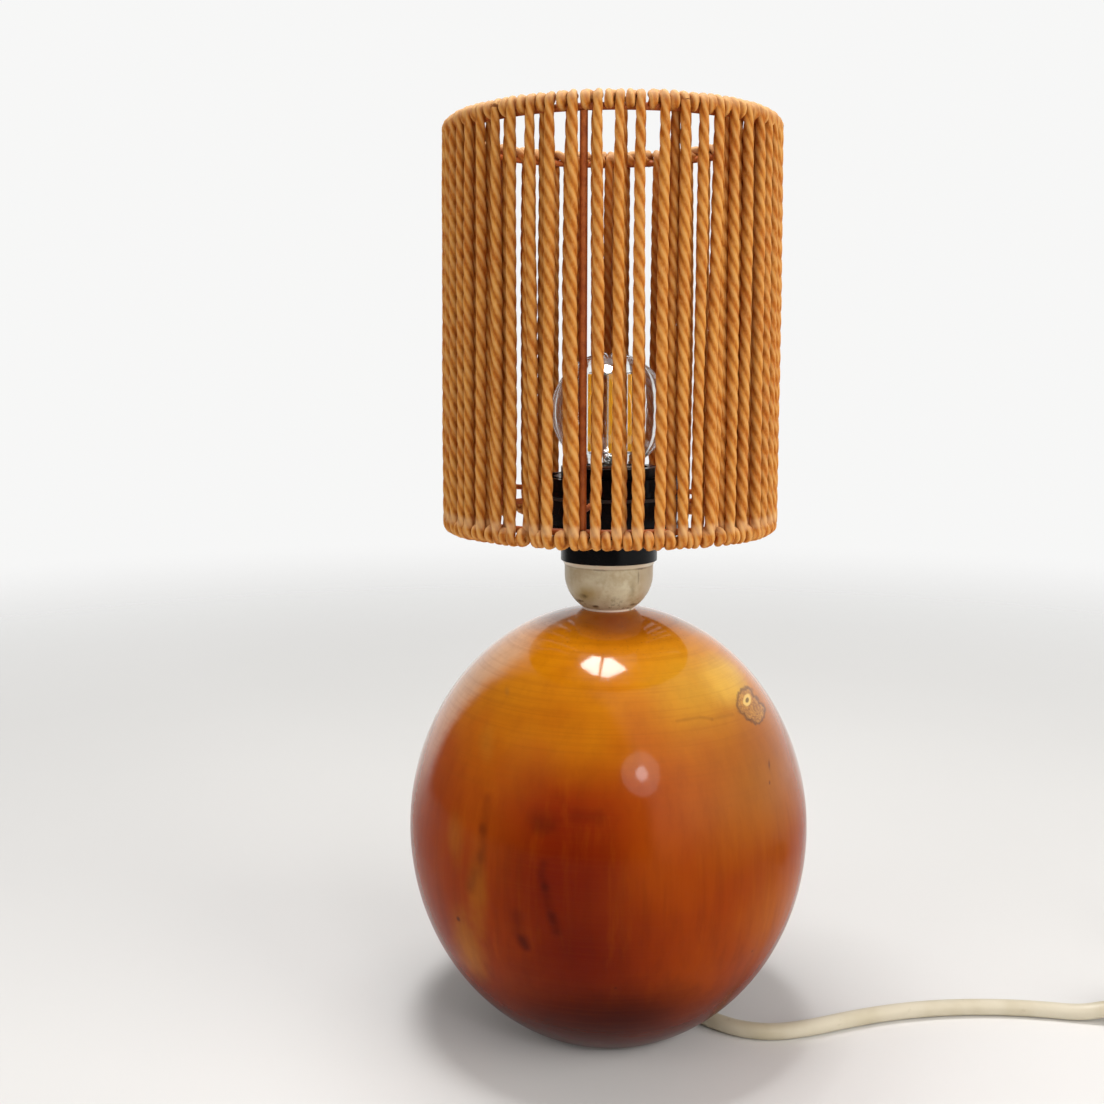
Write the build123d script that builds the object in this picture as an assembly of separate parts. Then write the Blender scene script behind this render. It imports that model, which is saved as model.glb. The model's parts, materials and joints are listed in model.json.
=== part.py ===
from build123d import *
import math
import os

import numpy

# A table lamp: a turned wooden ball, a screw lampholder and a cylinder shade wound with paper cord.
# Millimetres, +Z up. The origin is on the table, on the axis of the ball, and the front is -Y.

# Wooden ball
ball_diameter = 165.0
ball_height = 184.0
base_cut = 9.0
crown_cut = 0.8
recess_diameter = 50.0
recess_depth = 37.0
notch_width = 13.0
notch_azimuth = -21.0
notch_headroom = 0.8

# Threaded tube through the ball
tube_diameter = 10.0
tube_bore = 8.0
tube_clearance = 0.2
tube_stands_out = 2.5
washer_diameter = 32.0
washer_thickness = 1.5
nut_across_flats = 14.0
nut_height = 4.0

# Cream cap of the lampholder
cap_height = 20.2
cap_foot_radius = 10.7
cap_foot_height = 0.7
cap_bowl_height = 13.3
cap_side_radius = 18.1
cap_lip_radius = 19.6
cap_lip_height = 2.4
cap_wall = 2.0
cap_neck_radius = 7.2
cap_neck_height = 9.5
lock_screw_diameter = 3.0
lock_screw_length = 5.0
lock_screw_height = 6.0

# Black lampholder shell
shell_diameter = 39.3
shell_height = 37.9
shell_wall = 2.2
spigot_length = 5.5
spigot_wall = 1.6
shell_ledge = 1.6
mouth_diameter = 31.2
mouth_thickness = 2.0
fit = 0.15

# Insert, thread and contacts inside the lampholder
insert_floor = 7.8
insert_wall = 2.6
thread_bore = 27.0
thread_wall = 0.5
thread_length = 25.5
clamp_length = 8.0
clamp_width = 6.0
clamp_height = 5.4
clamp_spacing = 16.0
clamp_screw_diameter = 2.6
clamp_screw_head = 4.4
clamp_head_height = 1.6
clamp_screw_offset = 2.1
clamp_reach = 4.0
clamp_play = 0.2
contact_width = 6.0
contact_thickness = 0.5
contact_length = 15.0

# Shade rings that clamp the carrier
ring_diameter = 57.0
ring_lip = 0.9
ring_lip_height = 1.7
ring_skirt = 2.0
ring_hub = 2.8
ring_web = 2.0
lower_ring_base = 13.6
lower_ring_height = 11.9
upper_ring_height = 6.8
thread_clearance = 0.1
clamp_gap = 0.3

# Bulb
bulb_diameter = 47.0
bulb_length = 71.6
bulb_lift = 0.3
bulb_neck_radius = 12.7
bulb_neck_top = 26.6
bulb_glass_wall = 0.7
bulb_cap_diameter = 26.4
bulb_cap_bottom = 3.8
bulb_cap_top = 27.0
bulb_cap_wall = 0.4
bulb_foot_depth = 4.0
bulb_tip_diameter = 9.0
bulb_tip_height = 0.9
stem_radius = 3.6
stem_top = 30.0
stem_flare_height = 1.6
rod_radius = 1.1
rod_top = 62.4
led_count = 4
led_radius_from_axis = 8.0
led_azimuth = 0.0
led_diameter = 1.8
led_bottom = 32.0
led_length = 31.0
led_wire_diameter = 0.6

# Shade frame
shade_height = 158.2
shade_hang = 12.9
shade_ring_radius = 61.8
ring_wire = 2.6
stay_wire = 2.8
arm_wire = 2.2
stay_count = 3
front_stay_azimuth = -101.5
carrier_bore_radius = 20.4
carrier_radius = 29.5
carrier_thickness = 1.2
weld_gap = 0.05

# Paper cord wound over the two rings
strand = 3.4
strand_gap = 0.4
ring_seat_gap = 0.9
winding_loops = 24

# Flex
flex = 6.6
flex_top = 12.0
flex_bend = 22.0
flex_bend_azimuth = -14.2
core = 2.2
core_spacing = 3.2
flex_floor = flex / 2
switch_line = -15.2
switch_face = 222.0
flex_axis_in_switch = 6.5
flex_route = [
    (38.3, -14.6, flex_floor),
    (47.0, -22.6, flex_floor),
    (57.8, -27.8, flex_floor),
    (69.2, -28.8, flex_floor),
    (83.0, -25.4, flex_floor),
    (98.5, -19.4, flex_floor),
    (114.5, -14.2, flex_floor),
    (131.0, -10.6, flex_floor),
    (149.0, -8.6, flex_floor),
    (167.0, -8.6, flex_floor),
    (184.0, -10.4, flex_floor),
    (199.5, -13.6, flex_floor),
    (211.0, switch_line, flex_axis_in_switch),
    (switch_face, switch_line, flex_axis_in_switch),
]

# In-line switch
switch_length = 54.0
switch_width = 24.0
switch_height = 15.0
switch_corner = 8.0
switch_edge = 2.4
switch_wall = 1.6
rocker_length = 18.0
rocker_width = 8.0
rocker_rise = 1.6
rocker_dip = 0.9
rocker_axis_height = 10.4
rocker_depth = 2.2
rocker_keel = 2.0
rocker_pin_diameter = 2.4
rocker_slot_gap = 0.95
rocker_side_gap = 0.3
rocker_tilt = 9.0
lug_thickness = 1.4
lug_drop = 2.2
case_screw_diameter = 2.2
case_screw_head = 4.0
case_screw_head_height = 1.4
case_screw_reach = 10.0
case_screw_along = 17.0
case_screw_across = 7.0
case_boss_radius = 2.6
switch_contact_size = (7.0, 4.6, 4.0)
switch_contact_along = 8.0

# Coil of the length that is put away
coil_centre_x = 315.0
coil_radius = 50.0
coil_pitch = 7.4
coil_layer = 7.3
coil_dip = 2.5
coil_half_turns_in = 6
coil_half_turns_out = 5

# Plug
plug_face = 366.0
plug_line = -16.4
plug_width = 35.0
plug_thickness = 13.6
plug_length = 42.0
plug_relief_radius = 5.0
plug_relief_length = 13.0
plug_waist = 15.0
plug_shoulder = 28.0
pin_diameter = 4.0
pin_length = 19.0
pin_spacing = 18.6

# Heights and radii that follow from the sizes above
ball_radius = ball_diameter / 2
ball_centre = ball_height / 2 - base_cut
seat = ball_height - base_cut - crown_cut
nut_face = recess_depth - washer_thickness - nut_height
tube_bottom = nut_face - tube_stands_out
tube_top = seat + cap_neck_height + 0.7
tube_hole = tube_diameter / 2 + tube_clearance
shell_base = seat + cap_height
shell_radius = shell_diameter / 2
shell_bore = shell_radius - shell_wall
shell_top = shell_base + shell_height
cap_bore = cap_side_radius - cap_wall
insert_radius = shell_bore - fit
insert_base = shell_base + shell_ledge
insert_top = insert_base + insert_floor
thread_radius = thread_bore / 2
contact_top = insert_top + 2.1
ring_bore = shell_radius + thread_clearance
ring_radius = ring_diameter / 2
lower_ring_bottom = shell_base + lower_ring_base
lower_ring_top = lower_ring_bottom + lower_ring_height
carrier_bottom = lower_ring_top + clamp_gap
carrier_middle = carrier_bottom + carrier_thickness / 2
upper_ring_bottom = carrier_bottom + carrier_thickness + clamp_gap
bulb_base = contact_top + bulb_lift
bulb_centre = bulb_base + bulb_length - bulb_diameter / 2
shade_bottom = carrier_bottom - shade_hang
shade_top = shade_bottom + shade_height
ring_level_low = shade_bottom + strand + ring_seat_gap + ring_wire / 2
ring_level_high = shade_top - strand - ring_seat_gap - ring_wire / 2
outer_strands = shade_ring_radius + ring_wire / 2 + strand_gap + strand / 2
inner_strands = shade_ring_radius - ring_wire / 2 - strand_gap - strand / 2
switch_back = switch_face + switch_length
switch_centre = switch_face + switch_length / 2
coil_centre_y = switch_line + coil_radius
tail_line = coil_centre_y - coil_radius + coil_pitch / 2
tail_height = flex_floor + coil_layer


def ring_of(inner, outer, bottom, top):
    """A plain ring on the lamp's axis."""
    tall = top - bottom
    disc = Cylinder(outer, tall) - Cylinder(inner, tall)
    return Pos(0, 0, (bottom + top) / 2) * disc


def post(x, y, bottom, top, radius):
    """An upright round post."""
    return Pos(x, y, (bottom + top) / 2) * Cylinder(radius, top - bottom)


def turned(*edges):
    """A solid of revolution from a closed outline of (radius, height)."""
    return revolve(Plane.XZ * make_face(Curve() + list(edges)), Axis.Z)


def polar(radius, azimuth, height):
    angle = math.radians(azimuth)
    return Vector(radius * math.cos(angle), radius * math.sin(angle), height)


def half_turn(start, tangent, end):
    """Two quarter arcs from start, along tangent, round to end."""
    across = end - start
    middle = (start + end) / 2 + tangent * (across.length / 2)
    return [
        Edge.make_tangent_arc(start, tangent, middle),
        Edge.make_tangent_arc(middle, across.normalized(), end),
    ]


def tube_along(edges, diameter):
    """A round tube swept along edges that join with no corner."""
    start = edges[0].position_at(0)
    section = Plane(start, z_dir=edges[0].tangent_at(0)) * Circle(diameter / 2)
    return sweep(section, path=Wire(edges))


def corner_radii(points):
    """The largest arc that each corner of a route has room for."""
    radii = []
    for before, here, after in zip(points, points[1:], points[2:]):
        first = Vector(here) - Vector(before)
        second = Vector(after) - Vector(here)
        half = math.radians(first.get_angle(second)) / 2
        radii.append(0.45 * min(first.length, second.length) / math.tan(half))
    return radii


def routed(name, points, diameter):
    """A tube along straight runs joined by tangent arcs, with its radii and volume printed."""
    radii = corner_radii(points)
    path = FilletPolyline(*points, radius=radii)
    tube = tube_along(path.edges(), diameter)
    expected = math.pi * (diameter / 2) ** 2 * path.length
    share = tube.volume / expected
    listed = ", ".join(f"{radius:.1f}" for radius in radii)
    print(f"{name}: length {path.length:.1f}, radii {listed}, volume share {share:.4f}")
    return tube


def least_gap(edges, diameter):
    """The least gap of a tube to itself, measured on points along its path."""
    points = []
    for edge in edges:
        steps = max(2, round(edge.length / 2))
        points += [tuple(edge.position_at(i / steps)) for i in range(steps)]
    line = numpy.array(points)
    along = numpy.cumsum(numpy.linalg.norm(numpy.diff(line, axis=0, prepend=line[:1]), axis=1))
    least = math.inf
    for place, at in zip(line, along):
        far = line[along > at + 4 * diameter]
        if len(far):
            least = min(least, numpy.linalg.norm(far - place, axis=1).min())
    return least - diameter


# Wooden ball and what holds the lampholder on it


def wood_ball():
    low = math.degrees(math.asin(-ball_centre / (ball_height / 2)))
    high = math.degrees(math.asin((seat - ball_centre) / (ball_height / 2)))
    side = EllipticalCenterArc((0, ball_centre), ball_radius, ball_height / 2, low, arc_size=high - low)
    foot = side @ 0
    crown = side @ 1
    ball = turned(side, Polyline(crown, (0, seat), (0, 0), foot))
    ball -= post(0, 0, 0, recess_depth, recess_diameter / 2)
    ball -= post(0, 0, 0, seat, tube_hole)
    notch_height = flex + notch_headroom
    notch = Pos(ball_radius / 2, 0, notch_height / 2) * Box(ball_radius, notch_width, notch_height)
    return ball - Rot(0, 0, notch_azimuth) * notch


def threaded_tube():
    return ring_of(tube_bore / 2, tube_diameter / 2, tube_bottom, tube_top)


def bottom_washer():
    return ring_of(tube_hole, washer_diameter / 2, nut_face + nut_height, recess_depth)


def bottom_nut():
    hexagon = RegularPolygon(nut_across_flats / 2, 6, major_radius=False)
    nut = Pos(0, 0, nut_face) * extrude(hexagon, nut_height)
    return nut - post(0, 0, nut_face, nut_face + nut_height, tube_diameter / 2 + 0.05)


# Lampholder


def holder_cap():
    foot = seat + cap_foot_height
    shoulder = foot + cap_bowl_height
    lip = shell_base - cap_lip_height
    belly = (cap_foot_radius + 0.64 * (cap_side_radius - cap_foot_radius), foot + 0.36 * cap_bowl_height)
    flare = (cap_side_radius + 0.3 * (cap_lip_radius - cap_side_radius), lip + 0.55 * cap_lip_height)
    floor = foot + cap_wall
    neck_top = seat + cap_neck_height
    inner_belly = (belly[0] - 0.72 * cap_wall, belly[1] + 0.72 * cap_wall)
    cap = turned(
        Polyline((tube_hole, seat), (cap_foot_radius, seat), (cap_foot_radius, foot)),
        ThreePointArc((cap_foot_radius, foot), belly, (cap_side_radius, shoulder)),
        Line((cap_side_radius, shoulder), (cap_side_radius, lip)),
        ThreePointArc((cap_side_radius, lip), flare, (cap_lip_radius, shell_base)),
        Polyline((cap_lip_radius, shell_base), (cap_bore, shell_base), (cap_bore, shoulder)),
        ThreePointArc((cap_bore, shoulder), inner_belly, (cap_foot_radius - 0.4, floor)),
        Polyline((cap_foot_radius - 0.4, floor), (cap_neck_radius, floor), (cap_neck_radius, neck_top)),
        Polyline((cap_neck_radius, neck_top), (tube_hole, neck_top), (tube_hole, seat)),
    )
    return cap - lock_screw_place(lock_screw_diameter / 2 + 0.1, 0, cap_neck_radius + 1)


def lock_screw_place(radius, near, far):
    """A round bar across the neck of the cap, between two distances from the axis."""
    bar = Rot(0, 90, 0) * Cylinder(radius, far - near)
    return Pos((far + near) / 2, 0, seat + lock_screw_height) * bar


def tube_lock_screw():
    head = tube_hole + lock_screw_length
    screw = lock_screw_place(lock_screw_diameter / 2, tube_hole, head)
    return screw - Pos(head, 0, seat + lock_screw_height) * Box(1.6, 0.5, lock_screw_diameter + 1)


def holder_shell():
    spigot_radius = cap_bore - fit
    shell = ring_of(shell_bore, shell_radius, shell_base, shell_top)
    inner = spigot_radius - spigot_wall
    shell += ring_of(inner, spigot_radius, shell_base - spigot_length, insert_base)
    shell += ring_of(inner, shell_radius, shell_base, insert_base)
    return shell + ring_of(mouth_diameter / 2, shell_radius, shell_top - mouth_thickness, shell_top)


def clamp_post(side, y, low, high, radius):
    """An upright post at a terminal clamp, with heights from the underside of the insert."""
    return post(side * clamp_spacing / 2, y, insert_base + low, insert_base + high, radius)


def holder_insert():
    wall_top = insert_top + thread_length
    collar = thread_radius + thread_wall
    insert = post(0, 0, insert_base, insert_top, insert_radius)
    insert += ring_of(collar + fit, collar + insert_wall, insert_top, wall_top)
    room = clamp_height + clamp_play
    for side in (-1, 1):
        pocket = Box(clamp_width + 2 * clamp_play, clamp_length + 2 * clamp_play, room)
        insert -= Pos(side * clamp_spacing / 2, 0, insert_base + room / 2) * pocket
    return insert


def terminal_clamps():
    screw_hole = clamp_screw_diameter / 2 + 0.05
    clamps = []
    for side in (-1, 1):
        clamp = Box(clamp_width, clamp_length, clamp_height)
        clamp = Pos(side * clamp_spacing / 2, 0, insert_base + clamp_height / 2) * clamp
        clamp -= clamp_post(side, clamp_screw_offset, 0, clamp_reach, core / 2 + 0.1)
        clamps.append(clamp - clamp_post(side, -clamp_screw_offset, 0, clamp_reach, screw_hole))
    return clamps


def terminal_screws():
    screws = []
    for side in (-1, 1):
        shank = clamp_post(side, -clamp_screw_offset, 0, clamp_reach, clamp_screw_diameter / 2)
        head = clamp_post(side, -clamp_screw_offset, -clamp_head_height, 0, clamp_screw_head / 2)
        slot = Box(clamp_screw_head, 0.7, 1.2)
        slot = Pos(side * clamp_spacing / 2, -clamp_screw_offset, insert_base - clamp_head_height) * slot
        screws.append(shank + head - slot)
    return screws


def thread_shell():
    return ring_of(thread_radius, thread_radius + thread_wall, insert_top, insert_top + thread_length)


def centre_contact():
    half = contact_length / 2
    rise = contact_top - contact_thickness
    strip = Polyline((-half, insert_top), (half * 0.1, insert_top), (half * 0.55, rise), (half, rise))
    lower = Polyline(
        strip @ 1,
        (half, contact_top),
        (half * 0.45, contact_top),
        (0, insert_top + contact_thickness),
        (-half, insert_top + contact_thickness),
        strip @ 0,
    )
    side = Plane.XZ * make_face(Curve() + [strip, lower])
    return extrude(side, contact_width / 2, both=True)


def shade_ring(bottom, height, web_at_top, with_lip):
    """A black ring: a threaded hub and a skirt joined by a web."""
    skirt = ring_radius - ring_lip
    top = bottom + height
    body = ring_of(ring_bore, skirt, bottom, top)
    if with_lip:
        body += ring_of(ring_bore, ring_radius, bottom, bottom + ring_lip_height)
    cavity_bottom = bottom if web_at_top else bottom + ring_web
    cavity_top = top - ring_web if web_at_top else top
    return body - ring_of(ring_bore + ring_hub, skirt - ring_skirt, cavity_bottom, cavity_top)


def lower_shade_ring():
    return shade_ring(lower_ring_bottom, lower_ring_height, True, True)


def upper_shade_ring():
    ring = shade_ring(upper_ring_bottom, upper_ring_height, False, False)
    return ring + ring_of(ring_bore, ring_radius, upper_ring_bottom, upper_ring_bottom + ring_web)


# Bulb


def bulb_outline(inset):
    """The half outline of the glass, moved inwards by inset."""
    globe = bulb_diameter / 2 - inset
    neck = bulb_neck_radius - inset
    neck_top = bulb_base + bulb_neck_top
    rise = bulb_centre - neck_top
    sweep_radius = (neck**2 + rise**2 - globe**2) / (2 * (globe - neck))
    away = math.hypot(neck + sweep_radius, rise)
    touch = (globe * (neck + sweep_radius) / away, bulb_centre - globe * rise / away)
    bottom = bulb_base + bulb_cap_top - bulb_foot_depth
    angle = math.degrees(math.atan2(touch[1] - bulb_centre, touch[0]))
    return turned(
        Line((0, bottom), (neck, bottom)),
        Line((neck, bottom), (neck, neck_top)),
        TangentArc((neck, neck_top), touch, tangent=(0, 1)),
        CenterArc((0, bulb_centre), globe, angle, 90 - angle),
        Line((0, bulb_centre + globe), (0, bottom)),
    )


def bulb_glass():
    return bulb_outline(0) - bulb_outline(bulb_glass_wall)


def bulb_cap():
    outer = bulb_cap_diameter / 2
    bottom = bulb_base + bulb_cap_bottom
    top = bulb_base + bulb_cap_top
    cap = ring_of(outer - bulb_cap_wall, outer, bottom, top)
    return cap + ring_of(outer - bulb_cap_wall, outer + 0.3, top - 1.2, top)


def bulb_insulator():
    wide = bulb_cap_diameter / 2 - bulb_cap_wall
    low = bulb_base + bulb_tip_height
    high = bulb_base + bulb_cap_bottom + 1.5
    narrow = bulb_tip_diameter / 2 + 1.5
    return turned(
        Polyline(
            (0, low), (narrow, low), (wide - 0.6, high - 1.5), (wide, high - 1.5), (wide, high), (0, high), (0, low)
        )
    )


def bulb_tip():
    return post(0, 0, bulb_base, bulb_base + bulb_tip_height, bulb_tip_diameter / 2)


def bulb_stem():
    flare = bulb_base + bulb_cap_top - bulb_foot_depth
    inside = bulb_neck_radius - bulb_glass_wall - 0.05
    shoulder = bulb_base + stem_top - 2
    stem = turned(
        Line((0, flare), (inside, flare)),
        Line((inside, flare), (inside, flare + 1)),
        ThreePointArc((inside, flare + 1), (stem_radius + 2, flare + 1 + stem_flare_height), (stem_radius, shoulder)),
        Line((stem_radius, shoulder), (rod_radius, bulb_base + stem_top)),
        Line((rod_radius, bulb_base + stem_top), (rod_radius, bulb_base + rod_top)),
        Line((rod_radius, bulb_base + rod_top), (0, bulb_base + rod_top)),
        Line((0, bulb_base + rod_top), (0, flare)),
    )
    return stem


def led_places():
    return [led_azimuth + i * 360 / led_count for i in range(led_count)]


def led_filaments():
    low = bulb_base + led_bottom
    sticks = []
    for azimuth in led_places():
        foot = polar(led_radius_from_axis, azimuth, 0)
        sticks.append(post(foot.X, foot.Y, low, low + led_length, led_diameter / 2))
    return sticks


def led_wires():
    """Two wires for each stick: one from the stem to its foot, one from the rod to its head."""
    wires = []
    foot_level = bulb_base + led_bottom - 0.6
    head_level = bulb_base + led_bottom + led_length + 0.6
    for azimuth in led_places():
        for level, near in ((foot_level, rod_radius), (head_level, 0.0)):
            inner = polar(near + weld_gap, azimuth, level if near else bulb_base + rod_top + 0.4)
            outer = polar(led_radius_from_axis + 0.3, azimuth, level)
            wires.append(straight_bar(inner, outer, led_wire_diameter))
    return wires


def straight_bar(start, end, diameter):
    along = end - start
    section = Plane(start, z_dir=along.normalized()) * Circle(diameter / 2)
    return extrude(section, along.length)


# Shade


def shade_top_ring():
    return Pos(0, 0, ring_level_high) * Torus(shade_ring_radius, ring_wire / 2)


def shade_bottom_ring():
    return Pos(0, 0, ring_level_low) * Torus(shade_ring_radius, ring_wire / 2)


def stay_azimuths():
    return [front_stay_azimuth + i * 360 / stay_count for i in range(stay_count)]


def shade_stays():
    low = ring_level_low + ring_wire / 2 + weld_gap
    high = ring_level_high - ring_wire / 2 - weld_gap
    stays = []
    for azimuth in stay_azimuths():
        foot = polar(shade_ring_radius, azimuth, 0)
        stays.append(post(foot.X, foot.Y, low, high, stay_wire / 2))
    return stays


def carrier_ring():
    return ring_of(carrier_bore_radius, carrier_radius, carrier_bottom, carrier_bottom + carrier_thickness)


def carrier_arms():
    outer = shade_ring_radius - stay_wire / 2 - weld_gap
    arms = []
    for azimuth in stay_azimuths():
        start = polar(carrier_radius + weld_gap, azimuth, carrier_middle)
        arms.append(straight_bar(start, polar(outer, azimuth, carrier_middle), arm_wire))
    return arms


def winding_path():
    """Down outside the rings, under, up inside and over, loop after loop."""
    half_step = 180 / winding_loops
    chord = (polar(outer_strands, 0, 0) - polar(inner_strands, half_step, 0)).length
    low = shade_bottom + strand / 2 + chord / 2
    high = shade_top - strand / 2 - chord / 2
    down, up = Vector(0, 0, -1), Vector(0, 0, 1)
    edges = []
    for loop in range(winding_loops):
        azimuth = front_stay_azimuth + 2 * half_step * loop
        outer_foot = polar(outer_strands, azimuth, low)
        inner_foot = polar(inner_strands, azimuth + half_step, low)
        inner_head = polar(inner_strands, azimuth + half_step, high)
        edges.append(Edge.make_line(polar(outer_strands, azimuth, high), outer_foot))
        edges += half_turn(outer_foot, down, inner_foot)
        edges.append(Edge.make_line(inner_foot, inner_head))
        if loop < winding_loops - 1:
            edges += half_turn(inner_head, up, polar(outer_strands, azimuth + 2 * half_step, high))
    return edges


def cord_winding():
    edges = winding_path()
    print(f"cord_winding: length {sum(e.length for e in edges):.0f}, least gap {least_gap(edges, strand):.2f}")
    return tube_along(edges, strand)


# Flex, from the lampholder to the plug


def flex_inner():
    start = Vector(0, 0, seat + flex_top)
    bend_start = Vector(0, 0, flex_floor + flex_bend)
    bend_end = polar(flex_bend, flex_bend_azimuth, flex_floor)
    out = polar(1, flex_bend_azimuth, 0)
    edges = [
        Edge.make_line(start, bend_start),
        Edge.make_tangent_arc(bend_start, Vector(0, 0, -1), bend_end),
        Edge.make_tangent_arc(bend_end, out, Vector(*flex_route[0])),
    ]
    return tube_along(edges, flex)


def flex_core(side):
    """One insulated core, from the end of the sheath to its clamp."""
    top = seat + flex_top
    x = side * core_spacing / 2
    end = side * clamp_spacing / 2
    points = [
        (x, 0, top),
        (x, 0, top + 2.2),
        (end, clamp_screw_offset, top + 5.2),
        (end, clamp_screw_offset, insert_base + clamp_reach / 2),
    ]
    path = FilletPolyline(*points, radius=1.6)
    return tube_along(path.edges(), core)


def live_core():
    return flex_core(1)


def neutral_core():
    return flex_core(-1)


def flex_run():
    return routed("flex_run", flex_route, flex)


def flex_lead():
    start = switch_back
    end = coil_centre_x - flex
    step = (end - start) / 3
    points = [
        (start, switch_line, flex_axis_in_switch),
        (start + step, switch_line, flex_axis_in_switch),
        (end - step, switch_line, flex_floor),
        (end, switch_line, flex_floor),
    ]
    return routed("flex_lead", points, flex)


def coil_node(index, radius, height):
    """A point of the coil: even ones are at its front, odd ones at its back."""
    side = -1 if index % 2 == 0 else 1
    return Vector(coil_centre_x, coil_centre_y + side * radius, height)


def coil_path():
    """The turns spiral in on the table, climb a layer and spiral out on top."""
    nodes = []
    for index in range(coil_half_turns_in + 1):
        nodes.append(coil_node(index, coil_radius - index * coil_pitch / 2, flex_floor))
    inner = coil_radius - coil_half_turns_in * coil_pitch / 2
    turn_back = coil_half_turns_in + 1
    nodes.append(coil_node(turn_back, inner - coil_dip, tail_height))
    for step in range(1, coil_half_turns_out + 1):
        nodes.append(coil_node(turn_back + step, inner + step * coil_pitch / 2, tail_height))
    edges = [Edge.make_line(nodes[0] - Vector(flex, 0, 0), nodes[0])]
    for index, (start, end) in enumerate(zip(nodes, nodes[1:])):
        heading = Vector(1, 0, 0) if index % 2 == 0 else Vector(-1, 0, 0)
        edges += half_turn(start, heading, end)
    edges.append(Edge.make_line(nodes[-1], nodes[-1] + Vector(flex, 0, 0)))
    return edges


def flex_coil():
    edges = coil_path()
    print(f"flex_coil: length {sum(e.length for e in edges):.0f}, least gap {least_gap(edges, flex):.2f}")
    return tube_along(edges, flex)


def flex_tail():
    start = coil_centre_x + flex
    step = (plug_face - start) / 4
    low = plug_thickness / 2
    halfway = (start + 2 * step, (tail_line + plug_line) / 2, tail_height - 0.9)
    points = [
        (start, tail_line, tail_height),
        (start + step, tail_line, tail_height),
        halfway,
        (plug_face - step, plug_line, low),
        (plug_face, plug_line, low),
    ]
    return routed("flex_tail", points, flex)


# In-line switch


def switch_block(inset, bottom, top):
    """The outline of the switch case, moved inwards by inset."""
    outline = RectangleRounded(switch_length - 2 * inset, switch_width - 2 * inset, switch_corner - inset)
    return Pos(switch_centre, switch_line, bottom) * extrude(outline, top - bottom)


def case_bosses(radius, bottom, top):
    places = [(-1, 1), (1, -1)]
    bosses = [
        post(switch_centre + a * case_screw_along, switch_line + b * case_screw_across, bottom, top, radius)
        for a, b in places
    ]
    return bosses


def switch_lower_case():
    split = flex_axis_in_switch
    case = switch_block(0, 0, split)
    bottom_face = case.faces().sort_by(Axis.Z)[0]
    case = chamfer(bottom_face.outer_wire().edges(), 0.8)
    case -= switch_block(switch_wall, switch_wall, split)
    for boss in case_bosses(case_boss_radius, switch_wall / 2, split):
        case += boss
    for hole in case_bosses(case_screw_diameter / 2 + 0.1, 0, split):
        case -= hole
    for sink in case_bosses(case_screw_head / 2 + 0.2, 0, case_screw_head_height + 0.3):
        case -= sink
    return case


def rocker_slot():
    length = rocker_length + 2 * rocker_slot_gap
    width = rocker_width + 2 * rocker_side_gap
    slot = Box(length, width, 3 * switch_wall)
    return Pos(switch_centre, switch_line, switch_height) * slot


def rocker_axle(radius, reach):
    """A bar along the rocker's axis, reaching out to each side of it."""
    bar = Rot(90, 0, 0) * Cylinder(radius, 2 * reach)
    return Pos(switch_centre, switch_line, rocker_axis_height) * bar


def switch_upper_case():
    split = flex_axis_in_switch
    case = switch_block(0, split, switch_height)
    top_face = case.faces().sort_by(Axis.Z)[-1]
    case = fillet(top_face.outer_wire().edges(), switch_edge)
    case -= switch_block(switch_wall, split, switch_height - switch_wall)
    lug_inner = rocker_width / 2 + rocker_side_gap
    lug_bottom = rocker_axis_height - lug_drop
    lug_top = switch_height - switch_wall / 2
    for side in (-1, 1):
        lug = Box(2 * lug_drop + 1, lug_thickness, lug_top - lug_bottom)
        y = switch_line + side * (lug_inner + lug_thickness / 2)
        case += Pos(switch_centre, y, (lug_top + lug_bottom) / 2) * lug
    case -= rocker_axle(rocker_pin_diameter / 2 + 0.05, lug_inner + lug_thickness + 0.1)
    for boss in case_bosses(case_boss_radius, split, switch_height - switch_wall / 2):
        case += boss
    for hole in case_bosses(case_screw_diameter / 2 + 0.05, split, case_screw_reach + 0.5):
        case -= hole
    return case - rocker_slot()


def switch_rocker():
    half = rocker_length / 2
    low = -rocker_depth
    high = switch_height + rocker_rise - rocker_axis_height
    top = [(-half, high), (0, high - rocker_dip), (half, high)]
    keel = [(half, low), (0, low - rocker_keel), (-half, low)]
    outline = Polyline(*top, *keel, top[0])
    block = extrude(Plane.XZ * make_face(outline), rocker_width / 2, both=True)
    pin_reach = rocker_width + 2 * (rocker_side_gap + lug_thickness)
    block += Rot(90, 0, 0) * Cylinder(rocker_pin_diameter / 2, pin_reach)
    return Pos(switch_centre, switch_line, rocker_axis_height) * (Rot(0, -rocker_tilt, 0) * block)


def switch_screws():
    shanks = case_bosses(case_screw_diameter / 2, 0.3, case_screw_reach)
    heads = case_bosses(case_screw_head / 2, 0.3, 0.3 + case_screw_head_height)
    return [shank + head for shank, head in zip(shanks, heads)]


def switch_contacts():
    block = Box(*switch_contact_size)
    middle = switch_wall + switch_contact_size[2] / 2
    return [Pos(switch_centre + side * switch_contact_along, switch_line, middle) * block for side in (-1, 1)]


# Plug


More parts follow.
